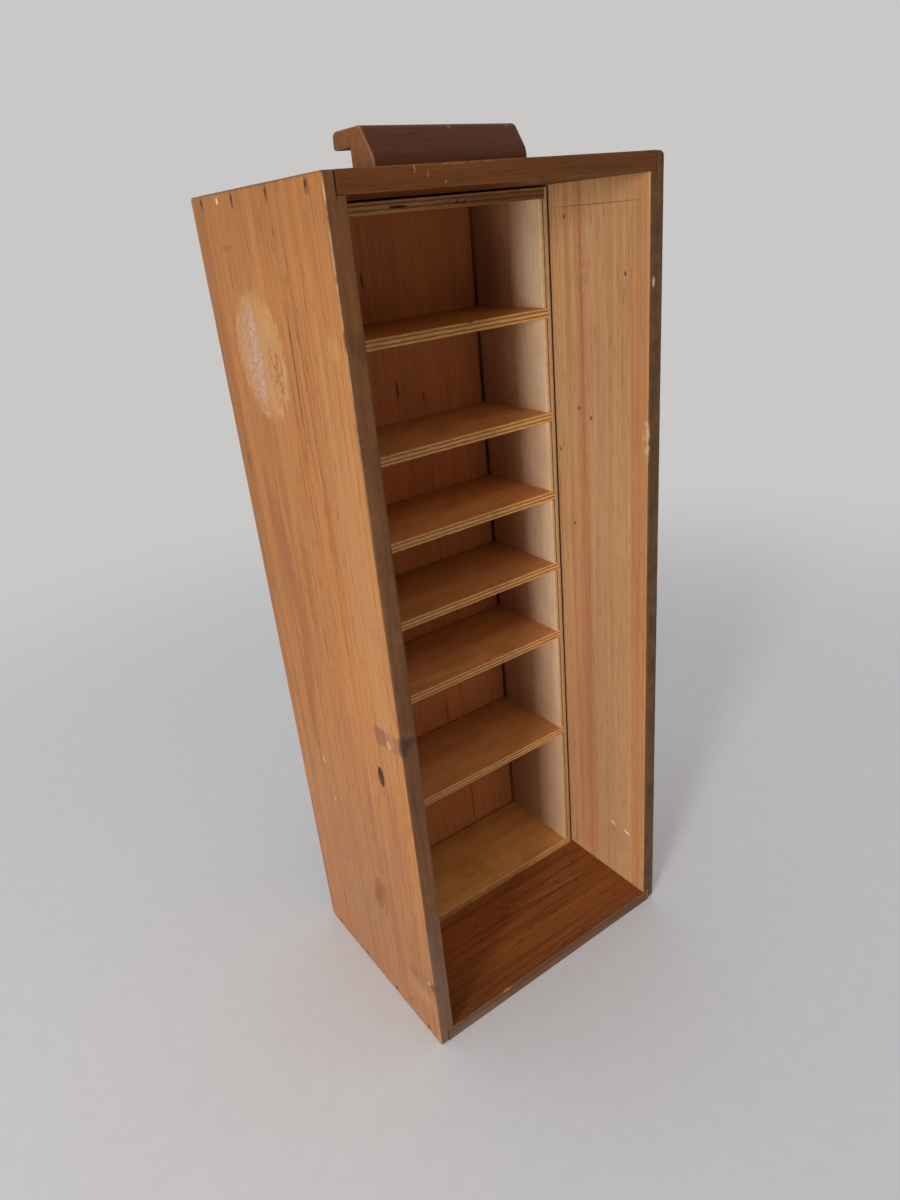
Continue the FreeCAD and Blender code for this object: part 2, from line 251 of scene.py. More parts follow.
# Birch plywood, rotary cut and sanded. The faces are pale with a faint silky figure,
# the sawn edges show the plies as light and dark lines.
def plywood(name, look):
    material, add, shader = newMaterial(name)
    inMm, _, seeded = woodSpace(add, look["cut"], look["seed"])
    figure = add("VectorMath", {0: seeded, 1: (1 / 11, 1 / 30, 1 / 90)}, operation="MULTIPLY")
    figure = add("TexNoise", {"Vector": figure, "Scale": 1.0, "Detail": 3.0, "Distortion": 0.6})
    fibre = grainOver(add, seeded, (0.7, 0.7, 14), 2.0)
    wave = add("MapRange", {0: figure, 1: 0.3, 2: 0.7, 3: 0.0, 4: 1.0})
    base = add("Mix", {0: wave, 6: colour(look["light"]), 7: colour(look["dark"])}, **blend)
    lines = add("Math", {0: figure, 1: 11.0}, operation="MULTIPLY")
    lines = add("Math", {0: lines}, operation="FRACT")
    lines = add("ValToRGB", {0: lines}, stops=[(0, 0.0), (0.7, 0.1), (0.9, 1.0), (1, 0.0)])
    lined = add("Math", {0: lines, 1: look["figure"]}, operation="MULTIPLY")
    base = add("Mix", {0: lined, 6: base, 7: colour(look["stain"])}, **blend)
    fine = add("MapRange", {0: fibre, 1: 0.25, 2: 0.75, 3: 0.93, 4: 1.06})
    base = add("VectorMath", {0: base, "Scale": fine}, operation="SCALE")
    stain = add("TexNoise", {"Vector": inMm, "Scale": 1 / 26, "Detail": 3.0})
    stain = add("MapRange", {0: stain, 1: 0.5, 2: 0.75, 3: 0.0, 4: look["stains"]})
    base = add("Mix", {0: stain, 6: base, 7: colour(look["stain"])}, **blend)

    # plies on the sawn edges, with a slightly uneven glue line
    ply = add("Attribute", out="Fac", attribute_name="plyCut")
    waver = add("TexNoise", {"Vector": inMm, "Scale": 1 / 7, "Detail": 2.0})
    ply = add("Math", {0: waver, 1: 0.09, 2: ply}, operation="MULTIPLY_ADD")
    ply = add("Math", {0: ply, 1: 0.045}, operation="SUBTRACT")
    layers = add("ValToRGB", {0: ply}, stops=look["plies"])
    saw = grainOver(add, seeded, (1.2, 1.2, 5), 3.0)
    saw = add("MapRange", {0: saw, 1: 0.3, 2: 0.7, 3: 0.78, 4: 1.14})
    layers = add("VectorMath", {0: layers, "Scale": saw}, operation="SCALE")
    normal = add("NewGeometry", out="Normal")
    facing = add("VectorMath", {0: normal, 1: look["face"]}, out="Value", operation="DOT_PRODUCT")
    facing = add("Math", {0: facing}, operation="ABSOLUTE")
    sawn = add("MapRange", {0: facing, 1: 0.75, 2: 0.5, 3: 0.0, 4: 1.0})
    base = add("Mix", {0: sawn, 6: base, 7: layers}, **blend)
    base = paintMarks(add, base, inMm, look.get("marks", []))

    rough = add("MapRange", {0: fibre, 1: 0.3, 2: 0.7, 3: look["rough"] - 0.05, 4: look["rough"] + 0.08})
    bump = add("Bump", {"Height": fibre, "Strength": 0.3, "Distance": 0.08 * mm})
    plug(shader, {"Base Color": base, "Roughness": rough, "Normal": bump,
                  "Specular IOR Level": look["sheen"]})
    return material


# Drawn steel wire, blackened by age: dull, dark, with brown rust in spots.
def oldSteel(name, look):
    material, add, shader = newMaterial(name)
    spot = add("TexCoord", out="Object")
    rust = add("TexNoise", {"Vector": spot, "Scale": 1 / (look["rustSize"] * mm), "Detail": 4.0})
    cover = add("MapRange", {0: rust, 1: 0.3, 2: 0.55, 3: 0.0, 4: 1.0})
    base = add("Mix", {0: cover, 6: colour(look["steel"]), 7: colour(look["rust"])}, **blend)
    rough = add("MapRange", {0: cover, 1: 0.0, 2: 1.0, 3: 0.42, 4: 0.8})
    bump = add("Bump", {"Height": rust, "Strength": 0.3, "Distance": 0.05 * mm})
    metal = add("MapRange", {0: cover, 1: 0.0, 2: 1.0, 3: 0.9, 4: 0.1})
    plug(shader, {"Base Color": base, "Roughness": rough, "Normal": bump, "Metallic": metal})
    return material


def makeActive(piece):
    bpy.ops.object.select_all(action="DESELECT")
    piece.select_set(True)
    bpy.context.view_layer.objects.active = piece


def startBoard(name, low, high):
    bpy.ops.object.select_all(action="DESELECT")
    bpy.ops.mesh.primitive_cube_add(size=1, location=(low + high) / 2, scale=high - low)
    board = bpy.context.object
    board.name = board.data.name = name
    bpy.ops.object.transform_apply(location=True, rotation=True, scale=True)
    return board


def startLayer(name, low, high, outer, inner):
    # the same box, but only between these two places in x
    low, high = low.copy(), high.copy()
    low.x, high.x = min(outer, inner), max(outer, inner)
    return startBoard(name, low, high)


def switchTo(mode):
    bpy.ops.object.mode_set(mode=mode)


def pick(board, faces=None, edges=None):
    # select by place or normal, and stay in edit mode
    bpy.context.tool_settings.mesh_select_mode = (False, edges is not None, faces is not None)
    switchTo("EDIT")
    bpy.ops.mesh.select_all(action="DESELECT")
    switchTo("OBJECT")
    points = board.data.vertices
    if faces:
        for face in board.data.polygons:
            face.select = faces(face.center, face.normal)
    else:
        for edge in board.data.edges:
            edge.select = edges(*(points[number].co for number in edge.vertices))
    switchTo("EDIT")


def cutAcross(board, axis, places, faces):
    for place in places:
        pick(board, faces=faces)
        bpy.ops.mesh.bisect(plane_co=axes[axis] * place, plane_no=axes[axis])
        switchTo("OBJECT")


def sliceAll(axis, places):
    switchTo("EDIT")
    for place in places:
        bpy.ops.mesh.select_all(action="SELECT")
        bpy.ops.mesh.bisect(plane_co=axes[axis] * place, plane_no=axes[axis])
    switchTo("OBJECT")


def pushOut(board, faces, move):
    pick(board, faces=faces)
    bpy.ops.mesh.extrude_region_move(TRANSFORM_OT_translate={"value": move})
    switchTo("OBJECT")


def sawOff(board, place, away):
    switchTo("EDIT")
    bpy.ops.mesh.select_all(action="SELECT")
    bpy.ops.mesh.bisect(plane_co=place, plane_no=away.normalized(), use_fill=True, clear_outer=True,
                        threshold=0.001 * mm)
    switchTo("OBJECT")


def roundEdges(board, edges, width, segments):
    pick(board, edges=edges)
    bpy.ops.mesh.bevel(offset=width, segments=segments, profile=0.5, affect="EDGES", clamp_overlap=True)
    switchTo("OBJECT")


def edgeAt(**place):
    # edges that lie at these coordinates, such as y=0.1, z=0.5
    wanted = [("xyz".index(axis), value) for axis, value in place.items()]
    return lambda a, b: all(abs(p[axis] - value) < hair for p in (a, b) for axis, value in wanted)


def spread(low, high, step, margins):
    # places for cuts: close together by the arrises, then evenly spaced
    places = [low + gap for gap in margins] + [high - gap for gap in margins]
    inner = high - low - 2 * margins[-1]
    count = max(1, round(inner / step))
    places += [low + margins[-1] + inner * number / count for number in range(1, count)]
    return sorted(set(round(place, 7) for place in places))


def gridCuts(low, high, step, **margins):
    # evenly spaced cuts across each of the named axes
    for axis, gaps in margins.items():
        number = "xyz".index(axis)
        sliceAll(axis, spread(low[number], high[number], step, gaps))


scuffs = bpy.data.textures.new("arrisScuffs", "CLOUDS")
scuffs.noise_scale = 22 * mm
scuffs.noise_depth = 3
dents = bpy.data.textures.new("arrisDents", "CLOUDS")
dents.noise_scale = 9 * mm
dents.noise_depth = 0
dents.use_color_ramp = True
for step, (place, level) in zip(dents.color_ramp.elements, ((0.1, 0.0), (0.3, 1.0))):
    step.position = place
    step.color = (level, level, level, 1)


def wearDown(board, low, high, wear):
    # arrises lose a little wood and never gain any
    makeActive(board)
    gaps = [sorted(min(c - a, b - c) for c, a, b in zip(point.co, low, high))[1]
            for point in board.data.vertices]
    arris = board.vertex_groups.new(name="arris")
    for number, gap in enumerate(gaps):
        if gap < wear["reach"]:
            arris.add([number], (1 - max(0, gap) / wear["reach"]) ** 2, "REPLACE")
    for name, texture in (("scuff", scuffs), ("dent", dents)):
        change = board.modifiers.new(name, "DISPLACE")
        change.texture = texture
        change.texture_coords = "LOCAL"
        change.mid_level = 1.0
        change.strength = wear[name]
        change.vertex_group = "arris"
        bpy.ops.object.modifier_apply(modifier=name)
    board.vertex_groups.clear()


def carve(board, cutters):
    # the cutters are joined and taken out of the board
    bpy.ops.object.select_all(action="DESELECT")
    for cutter in cutters:
        cutter.select_set(True)
    bpy.context.view_layer.objects.active = cutters[0]
    bpy.ops.object.join()
    tool = bpy.context.object
    makeActive(board)
    cut = board.modifiers.new("holes", "BOOLEAN")
    cut.operation = "DIFFERENCE"
    cut.solver = "EXACT"
    cut.object = tool
    bpy.ops.object.modifier_apply(modifier="holes")
    bpy.data.objects.remove(tool)


def rubArrises(board, front, axis, places, rise=(-1, 0)):
    # the front arrises at these places remember how rubbed they are, which grows over the heights in rise
    rubs = []
    for point in board.data.vertices:
        spot = point.co
        gap = max(spot.y - front, min(abs(spot[axis] - place) for place in places))
        share = (spot.z - rise[0]) / (rise[1] - rise[0])
        rubs.append(max(0, 1 - gap / wear["rubReach"]) * min(1, max(0, share)))
    board.data.attributes.new("rubbed", "FLOAT", "POINT").data.foreach_set("value", rubs)


def roundCutter(place, drive, radius, depth):
    turn = axes[drive].to_track_quat("Z", "Y").to_euler()
    bpy.ops.mesh.primitive_cylinder_add(vertices=20, radius=radius, depth=2 * depth, location=place,
                                        rotation=turn)
    return bpy.context.object


def ovalCutter(place, radii, turn=(0, 0, 0)):
    turn = [math.radians(angle) for angle in turn]
    bpy.ops.mesh.primitive_uv_sphere_add(segments=16, ring_count=10, radius=1, location=Vector(place) * mm,
                                         scale=Vector(radii) * mm, rotation=turn)
    return bpy.context.object


def headSpots(node, axis, end):
    # the middle of each nail or pin head on that side of the node
    points = [point.co for point in frame["nodes"][node].data.vertices]
    face = end(point[axis] for point in points)
    heads = []
    for point in points:
        if abs(point[axis] - face) < hair:
            near = [head for head in heads if (head[0] - point).length < 3 * mm]
            if near:
                near[0].append(point)
            else:
                heads.append([point])
    for head in heads:
        yield Vector([(min(p[i] for p in head) + max(p[i] for p in head)) / 2 for i in range(3)])


def headCutters(node, axis, end, face, radius):
    for place in headSpots(node, axis, end):
        place[axis] = face
        yield roundCutter(place, "xyz"[axis], radius, holes["deep"])


def rustUnder(node, end, sizes):
    # a dark streak below each nail that has bled into the wood
    for place, (wide, long, cover) in zip(headSpots(node, 0, end), sizes):
        x, y, z = (part / mm for part in place)
        yield blot((x, y, z - 0.2 * long), (2, wide, long), cover, "#4f2811")


def finishPiece(piece, node, material):
    makeActive(piece)
    bpy.ops.object.shade_smooth_by_angle(angle=math.radians(32))
    piece.data.materials.clear()
    piece.data.materials.append(material)
    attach(piece, body_of(frame["nodes"][node])[0])
    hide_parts(node)


fit = 0.05 * mm
topLow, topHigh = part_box("top_board")
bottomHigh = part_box("bottom_board")[1]
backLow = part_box("back_panel")[0]
wear = dict(reach=3 * mm, rubReach=1.15 * mm, scuff=0.15 * mm, dent=0.14 * mm)
cuts = dict(step=4 * mm, wide=(1.2 * mm, 2.4 * mm, 4.5 * mm), thin=(1.2 * mm, 2.4 * mm))
holes = dict(nail=1.35 * mm, pin=1.15 * mm, deep=1.05 * mm, worm=0.9 * mm, wormDeep=3 * mm)
rounds = dict(sideOut=0.7 * mm, sideIn=0.5 * mm, endLeft=0.6 * mm, endRight=0.2 * mm, endFront=0.6 * mm,
              back=0.4 * mm, ply=0.3 * mm)

# where most marks lie, in mm
leftFace, leftInside, rightInside, rightFace = -98, -88, 88, 98
frontEdge, backInside, backFace, wallInside = -73.5, 68.5, 73.5, 79.8
grimyEdge = dict(to=(0, -1, 0), cover=0.96, thin=0.14, dark="#55341d", light="#6f472b")
# painted shadow in the gap just behind the tray's front edge, and darker, dirtier wood over the rest of the
# side hidden by the tray
behindTrayShadowAndDirt = dict(size=(3, 34, 3000), cover=0.7, tone="#462a19", ragged=0.5, core=0.97, rim=1.02)


def jointLine(x, z, wide, cover):
    # the dark joint between a side and an end board, seen from the front
    return blot((x, frontEdge, z), (wide, 3, 7), cover, "#1d0f09", ragged=0.5, square=1)


def edgeDirt(face):
    # dirt along the upper, back and lower edges of a side's outer face
    return [blot((face, 0, 500), (3, 90, 1.1), 0.55, "#5a381f"),
            blot((face, backFace, 250), (3, 1.2, 280), 0.5, "#66401f"),
            blot((face, 0, 0), (3, 90, 1.6), 0.45, "#6b3f24", ragged=3)]


leftPine = dict(
    cut="YXZ", seed=1.0, heart=(-190, 95), ring=2.3, wander=9.0, lines=0.5,
    early="#bd7e43", late="#9b5a28", streak="#975326", streaks=0.5, shade=0.1, dashes=0.5,
    threads=0.16, rough=0.5, sheen=0.25, rub=0.95, bare="#e2ba8c", rubRise=(0.2, 0.47),
    knots=[
        dict(at=(-44, leftFace, 196), size=(6, 40, 16), push=5),
        dict(at=(-60, leftFace, 228), size=(14, 40, 12), push=6),
        dict(at=(-18, leftFace, 88), size=(8, 40, 16), push=7),
        dict(at=(-58, leftFace, 47), size=(14, 40, 9), push=5),
    ],
    faces=[grimyEdge],
    marks=[
        # paler towards the front, greyer towards the foot
        blot((leftFace, -56, 330), (4, 20, 150), 0.2, "#d4a674", ragged=8, core=0.2, rim=1.3),
        blot((leftFace, 0, 20), (4, 130, 220), 0.3, "#725b5a", core=0.1),
        blot((leftFace, 0, 500), (4, 130, 40), 0.2, "#7c481f", core=0.2),
        blot((leftFace, 42, 345), (4, 46, 190), 0.17, "#7d5029", ragged=6, core=0.5),
        blot((leftFace, 70, 400), (4, 12, 190), 0.4, "#84542c", ragged=5, core=0.2, rim=1.3),
        # dark resin lines and reddish streaks down the middle
        blot((leftFace, -20.5, 418), (2, 0.9, 42), 0.75, "#70391a", turn=(2, 0, 0)),
        blot((leftFace, -24, 392), (2, 0.7, 30), 0.45, "#7a431e"),
        blot((leftFace, -8.5, 365), (2, 1.0, 22), 0.4, "#7a431e"),
        blot((leftFace, -29, 340), (2, 0.9, 22), 0.4, "#7a431e"),
        blot((leftFace, 33, 308), (2, 7, 40), 0.5, "#8f4e28", turn=(-8, 0, 0), rim=1.7, ragged=5),
        blot((leftFace, 8, 300), (2, 9, 30), 0.45, "#8f552c", ragged=6, patchy=3),
        blot((leftFace, 33, 228), (2, 5, 42), 0.35, "#8f4e28", turn=(12, 0, 0), rim=1.7, ragged=4),
        blot((leftFace, -1, 266), (2, 1.6, 14), 0.45, "#7f4822"),
        blot((leftFace, -21, 480), (2, 0.8, 3), 0.5, "#5c3016"),
        blot((leftFace, 62, 361), (2, 1.2, 7), 0.6, "#6a3a1b"),
        blot((leftFace, 64, 284), (2, 1.1, 8), 0.5, "#6a3a1b"),
        blot((leftFace, -41.7, 351.5), (2, 0.8, 2.6), 0.6, "#6e3f1d"),
        blot((leftFace, -34, 421.7), (2, 0.8, 2.6), 0.6, "#6e3f1d"),
        # a cleaner oval with the crumbs of something once stuck there
        blot((leftFace, 17.5, 423), (4, 28, 32), 0.36, "#d3a872", ragged=7, core=0.75, rim=1.12),
        blot((leftFace, 17.5, 423), (4, 27, 31), 0.4, "#d6a96f", ragged=6, ring=0.08, patchy=9),
        blot((leftFace, 2, 416), (4, 9, 16), 0.6, "#8a5330", patchy=2.6, ragged=6),
        blot((leftFace, 27, 423), (4, 15, 31), 0.5, "#ab7c64", ragged=9, rim=1.1),
        blot((leftFace, 27, 423), (4, 14, 30), 0.5, "#cba592", ragged=8, patchy=2.4, rim=1.1),
        blot((leftFace, 22, 424), (4, 5, 29), 0.4, "#d8b9ac", ragged=6, patchy=1.8),
        blot((leftFace, 36, 474.8), (2, 9, 1.2), 0.4, "#84502a", ragged=2.5),
        blot((leftFace, 37, 462), (2, 1.2, 9), 0.45, "#7c4722", ragged=2.5),
        blot((leftFace, -62, 432), (2, 7, 6), 0.2, "#d2a468", ragged=4),
        # knots; the first two darken the hollow where a knot fell out: its dark rim, and painted shade
        # inside the hollow
        blot((-97, -45.2, 195.8), (7, 3.2, 7.2), 0.92, "#35201a", ragged=1.2, core=0.9, rim=1.05),
        blot((-97, -45, 193.5), (7, 1.6, 3.6), 0.5, "#4b362b", ragged=1.5),
        blot((leftFace, -60, 227), (5, 15, 5.6), 0.4, "#8b5a3c", turn=(-9, 0, 0), ragged=1.5, core=0.8,
             square=2),
        blot((leftFace, -52, 227), (5, 6, 5.4), 0.45, "#80503a", turn=(-9, 0, 0), ragged=1.5, core=0.8,
             square=2),
        blot((leftFace, -60, 224.5), (3, 2.4, 3.2), 0.5, "#dcae80", ragged=1.5),
        blot((leftFace, -70, 229), (5, 4.5, 6), 0.3, "#7d6052", ragged=3),
        blot((-96.5, frontEdge, 229.5), (3.5, 3, 7), 0.75, "#33221a"),
        blot((-92, frontEdge, 231), (4, 3, 3), 0.5, "#33221a"),
        blot((leftFace, -18, 88.5), (3, 5.7, 13.2), 0.6, "#864a26", turn=(20, 0, 0), ragged=1.5,
             core=0.8, square=2),
        blot((leftFace, -16, 85), (3, 3.2, 8), 0.25, "#6d3a20", turn=(24, 0, 0)),
        blot((leftFace, -22.5, 114), (2, 0.8, 12), 0.45, "#8a5632"),
        blot((leftFace, -59.5, 48), (3, 14.5, 5.5), 0.5, "#8f5f43", turn=(-10, 0, 0), ragged=3),
        blot((leftFace, -50, 46), (3, 6, 4.2), 0.45, "#84502f", turn=(-10, 0, 0)),
        blot((leftFace, -58, 32), (3, 18, 9), 0.14, "#e0b48a", ragged=3, core=0.1, rim=1.3),
        blot((leftFace, -67.5, 50.5), (2, 1.8, 0.8), 0.85, "#e8cdb0", ragged=1),
        blot((-97, -72, 50), (6, 4, 4), 0.7, "#4c382d"),
        # painted shadow in the gap behind the tray's front edge, and darker wood behind the tray
        dict(behindTrayShadowAndDirt, at=(leftInside, 37.7, 250)),
        jointLine(-92.4, 496, 0.7, 0.85), jointLine(-92.4, 4, 0.7, 0.85),
        # reddish blots on the front edge
        blot((-90, frontEdge, 462), (4, 2, 34), 0.45, "#7c4a22", ragged=3),
        blot((-90.5, frontEdge, 431), (2.5, 2, 8), 0.5, "#4f2a18", ragged=3),
        blot((-93, frontEdge, 30), (8, 2, 80), 0.35, "#826b5d", ragged=3, core=0.3, rim=1.3),
        *edgeDirt(leftFace),
        # light flecks and chips
        blot((leftFace, 38, 496), (2, 1.2, 1.6), 0.95, "#f0cf9e", ragged=1),
        blot((leftFace, 33.6, 166), (2, 2.2, 2.6), 0.8, "#dcc2a4", patchy=2),
        blot((leftFace, 27, 138), (2, 1.6, 2), 0.7, "#dcc2a4", patchy=2),
        blot((leftFace, 28.6, 1.5), (2, 2, 2), 0.8, "#663822"),
        blot((leftFace, -39.6, 11), (2, 1.6, 6), 0.5, "#764728", turn=(35, 0, 0)),
    ],
    chips=[(486.7, 0.9), (462.9, 1.2), (452.3, 0.7), (382.9, 1.0), (342.8, 0.8), (262, 0.7), (151, 0.8),
           (61, 1.1), (52.6, 1.3), (24, 0.8)],
    corners=dict(frontTop=1.6, backTop=2.2, frontBottom=2.0, backBottom=7.0),
    hollow=dict(place=(leftFace, -44.5, 196), radii=(1.8, 2.6, 6.5), turn=(4, 0, 0)),  # a knot fell out
)

rightPine = dict(
    cut="YXZ", seed=4.0, heart=(-230, -60), ring=2.6, wander=8.0, lines=0.55,
    early="#c69869", late="#b17a4b", streak="#b0734a", streaks=0.4, shade=0.08, dashes=0.35,
    threads=0.08, rough=0.52, sheen=0.25, rub=0.85, bare="#cfa67a", rubRise=(-1, 0),
    knots=[
        dict(at=(28, rightFace, 331), size=(7, 3, 15), push=6),
        dict(at=(-37, rightFace, 142), size=(12, 3, 10), push=6),
    ],
    faces=[dict(to=(1, 0, 0), cover=0.92, thin=0.12, dark="#6f370f", light="#c98c50", ringed=True),
           dict(grimyEdge, dark="#442914", light="#5d3c1d")],
    marks=[
        blot((rightInside, -21.5, 420), (3, 1.4, 120), 0.4, "#93503a", ragged=2.5),
        blot((rightInside, -20.5, 250), (3, 3.6, 290), 0.35, "#a65c40", ragged=5, rim=1.7),
        blot((rightInside, -19, 130), (3, 10, 120), 0.2, "#a65c44", ragged=6, core=0.2, rim=1.6),
        blot((rightInside, -24, 120), (3, 38, 170), 0.16, "#a55a48", ragged=6, core=0.2, rim=1.3),
        # painted shadow in the gap behind the tray's front edge, and darker wood behind the tray
        dict(behindTrayShadowAndDirt, at=(rightInside, 37.7, 250)),
        blot((rightInside, -36, 210), (3, 9, 190), 0.3, "#b3906b", ragged=5, rim=1.5),
        blot((rightInside, -67, 250), (3, 6, 290), 0.38, "#b36a33", ragged=5, rim=1.5),
        blot((rightInside, -34, 478.2), (1, 40, 0.4), 0.6, "#7a5438", ragged=0.6),
        blot((rightInside, -16, 25), (2, 4.5, 13), 0.45, "#c96656", ragged=4, core=0.1, rim=1.4),
        jointLine(92.4, 496, 0.6, 0.7),
        blot((rightInside, -43.3, 56.8), (1, 2.6, 0.8), 0.95, "#f6ead9", turn=(20, 0, 0), ragged=1),
        blot((rightInside, -56.5, 55.9), (1, 3.2, 0.9), 0.95, "#f6ead9", turn=(20, 0, 0), ragged=1),
        blot((rightInside, -48, 46), (2, 12, 16), 0.3, "#a87e56", ragged=6),
        blot((90.8, frontEdge, 438), (1.0, 2, 2.8), 0.9, "#cbb59a", ragged=1),
        blot((87.5, -72, 352), (2, 3, 15), 0.8, "#d8b68b", ragged=3, patchy=4),
        # the outside: paler in front, greyer at the foot, resin lines, two knots
        blot((rightFace, -48, 300), (4, 26, 170), 0.22, "#d4a674", ragged=8, core=0.2, rim=1.3),
        blot((rightFace, 0, 10), (4, 130, 190), 0.3, "#725b5a", core=0.1),
        blot((rightFace, 66, 330), (4, 14, 200), 0.35, "#84542c", ragged=5, core=0.2, rim=1.3),
        blot((rightFace, 11, 392), (2, 0.9, 46), 0.65, "#70391a", turn=(-2, 0, 0)),
        blot((rightFace, 17, 420), (2, 0.7, 28), 0.45, "#7a431e"),
        blot((rightFace, -27, 240), (2, 1.0, 38), 0.4, "#7a431e"),
        blot((rightFace, 40, 205), (2, 6, 44), 0.4, "#8f4e28", turn=(9, 0, 0), ragged=5, rim=1.7),
        blot((rightFace, 28, 331), (3, 4.2, 7.5), 0.85, "#4a2713", turn=(-8, 0, 0), ragged=1.2,
             core=0.8, rim=1.1),
        blot((rightFace, 27.5, 333), (3, 1.8, 3.4), 0.5, "#6e4426", ragged=1.5),
        blot((rightFace, -37, 142), (3, 9, 5), 0.6, "#80492a", turn=(12, 0, 0), core=0.8),
        blot((rightFace, -33, 143), (3, 4, 3), 0.35, "#5f3319"),
        *edgeDirt(rightFace),
    ] + [blot((rightInside, y, z), (1.5, 1.1, 1.4), 0.75, "#61381f", ragged=1)
         for y, z in ((-8.9, 473.3), (-56, 442.4), (-17.5, 364.8), (-27.7, 359.7), (0.4, 336.3),
                      (-11.1, 288))],
    chips=[(484.2, 1.2), (470, 0.8), (451.9, 1.2), (421, 0.8), (389, 1.0), (361, 1.1), (331.6, 1.3),
           (300, 0.8), (268, 1.0), (221, 1.1), (180, 0.8), (133, 1.0), (77, 0.9), (30, 1.2)],
    corners=dict(frontTop=3.0, backTop=2.0, frontBottom=3.5, backBottom=3.0),
)


# The sides: a lip the full height, with the thicker part standing on it between the rabbets.
def makeSide(node, hand, look, material):
    low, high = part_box(node)
    lip = hand * (topHigh.x + fit)
    outer, inner = (low.x, high.x) if hand < 0 else (high.x, low.x)
    board = startLayer(node + "_wood", low, high, outer, lip)
    inside = lambda centre, normal: normal.x * hand < -0.9
    cutAcross(board, "z", (bottomHigh.z + fit, topLow.z - fit), inside)
    cutAcross(board, "y", (backLow.y - fit,), inside)
    pushOut(board, lambda c, n: inside(c, n) and c.y < backLow.y and bottomHigh.z < c.z < topLow.z,
            Vector((inner - lip, 0, 0)))
    for corner, radius in look["corners"].items():
        y = low.y if corner.startswith("front") else high.y
        z = high.z if corner.endswith("Top") else low.z
        roundEdges(board, edgeAt(y=y, z=z), radius * mm, 5)
    roundEdges(board, edgeAt(x=outer), rounds["sideOut"], 3)
    roundEdges(board, edgeAt(x=inner, y=low.y), rounds["sideIn"], 2)
    gridCuts(low, high, cuts["step"], z=cuts["wide"], y=cuts["wide"], x=cuts["thin"])
    wearDown(board, low, high, wear)
    word, end = ("left", min) if hand < 0 else ("right", max)
    cutters = [cutter for row in ("top", "bottom")
               for cutter in headCutters(f"{word}_{row}_nails", 0, end, outer, holes["nail"])]
    for height, radius in look["chips"]:  # splinters gone from the front arris
        out = 0.45 * radius
        cutters.append(ovalCutter((outer / mm + hand * out, low.y / mm - out, height),
                                  (radius * 1.1, radius * 1.1, radius * 2.2)))
    if "hollow" in look:
        cutters.append(ovalCutter(**look["hollow"]))
    carve(board, cutters)
    rubArrises(board, low.y, 0, (outer,), look["rubRise"])
    finishPiece(board, node, material)


nailRust = [(1.8, 4.0, 0.6), (1.3, 4.2, 0.75), (1.4, 4.2, 0.8), (2.0, 4.6, 0.5)]
leftPine["marks"] += rustUnder("left_top_nails", min, nailRust)
rightPine["marks"] += rustUnder("right_top_nails", max, nailRust)
makeSide("left_side", -1, leftPine, pine("oiledPineLeft", leftPine))
makeSide("right_side", 1, rightPine, pine("oiledPineRight", rightPine))
print("sides made")

bottomPine = dict(
    cut="YZX", seed=7.0, heart=(40, 60), ring=3.4, wander=12.0, lines=0.7,
    early="#a05e2e", late="#743d1b", streak="#693115", streaks=0.6, shade=0.14,
    dashes=0.5, threads=0.12, rough=0.45, sheen=0.3, rub=0.4, bare="#a97a4c",
    faces=[dict(grimyEdge, dark="#593925", light="#7c5439")],
    marks=[
        jointLine(-92.5, 4, 0.6, 0.8),
        blot((-72, frontEdge, 3.5), (30, 1.2, 5), 0.35, "#8f7a66", ragged=3, core=0.2),
        blot((-75, -62, 9.5), (55, 30, 6), 0.35, "#4f2812", core=0.1),
        blot((0, -75, 9.5), (110, 30, 6), 0.3, "#4f2812", core=0.1),
        blot((40, -26, 9.5), (30, 1.4, 2), 0.45, "#b0784a", turn=(0, 0, -5), rim=1.6),
        blot((-44, frontEdge, 8.9), (4, 2, 1), 0.6, "#b08558"),
    ],
)
backPine = dict(bottomPine, cut="XYZ", seed=9.0, heart=(140, 60), ring=3.0, lines=0.3, streaks=0.3,
                sheen=0.15, dashes=0.2, early="#d68e57", late="#b77143", streak="#ae673c", faces=[
    dict(to=(0, 1, 0), cover=0.85, thin=0.2, dark="#4f2f18", light="#ab825b", ringed=True),
], marks=[
    blot((0, backFace, 0), (130, 3, 120), 0.35, "#6a5346", core=0.1),
    blot((-34, backFace, 330), (16, 3, 120), 0.3, "#6d4527", ragged=8, core=0.2, rim=1.4),
    blot((47, backFace, 180), (9, 3, 90), 0.3, "#74492a", ragged=6, core=0.2, rim=1.4),
    blot((20, backFace, 402), (26, 3, 22), 0.18, "#c9a376", ragged=8),
    # painted shade on the inside of the back panel at the top of the uppermost room, under the tray's top
    blot((0, backInside, 480), (100, 4, 60), 0.12, "#3a2414", core=0.2),
    # painted shadow lines in the corners where the tray's walls meet the back panel
    *[blot((x, backInside, 250), (1.3, 3, 300), 0.85, "#1a0d06", ragged=0.8) for x in (79.2, -79.2)],
    blot((-5, backInside, 449), (1.1, 2, 6), 0.7, "#2c150a", ragged=1),
    blot((11, backInside, 381), (1.0, 2, 6), 0.65, "#2c150a", ragged=1),
    blot((30.6, backInside, 373), (0.8, 2, 4), 0.55, "#2c150a", ragged=1),
    blot((22, backInside, 133), (0.8, 2, 10), 0.5, "#4a2512"),
    blot((38, backInside, 35), (0.9, 2, 20), 0.5, "#4a2512"),
])
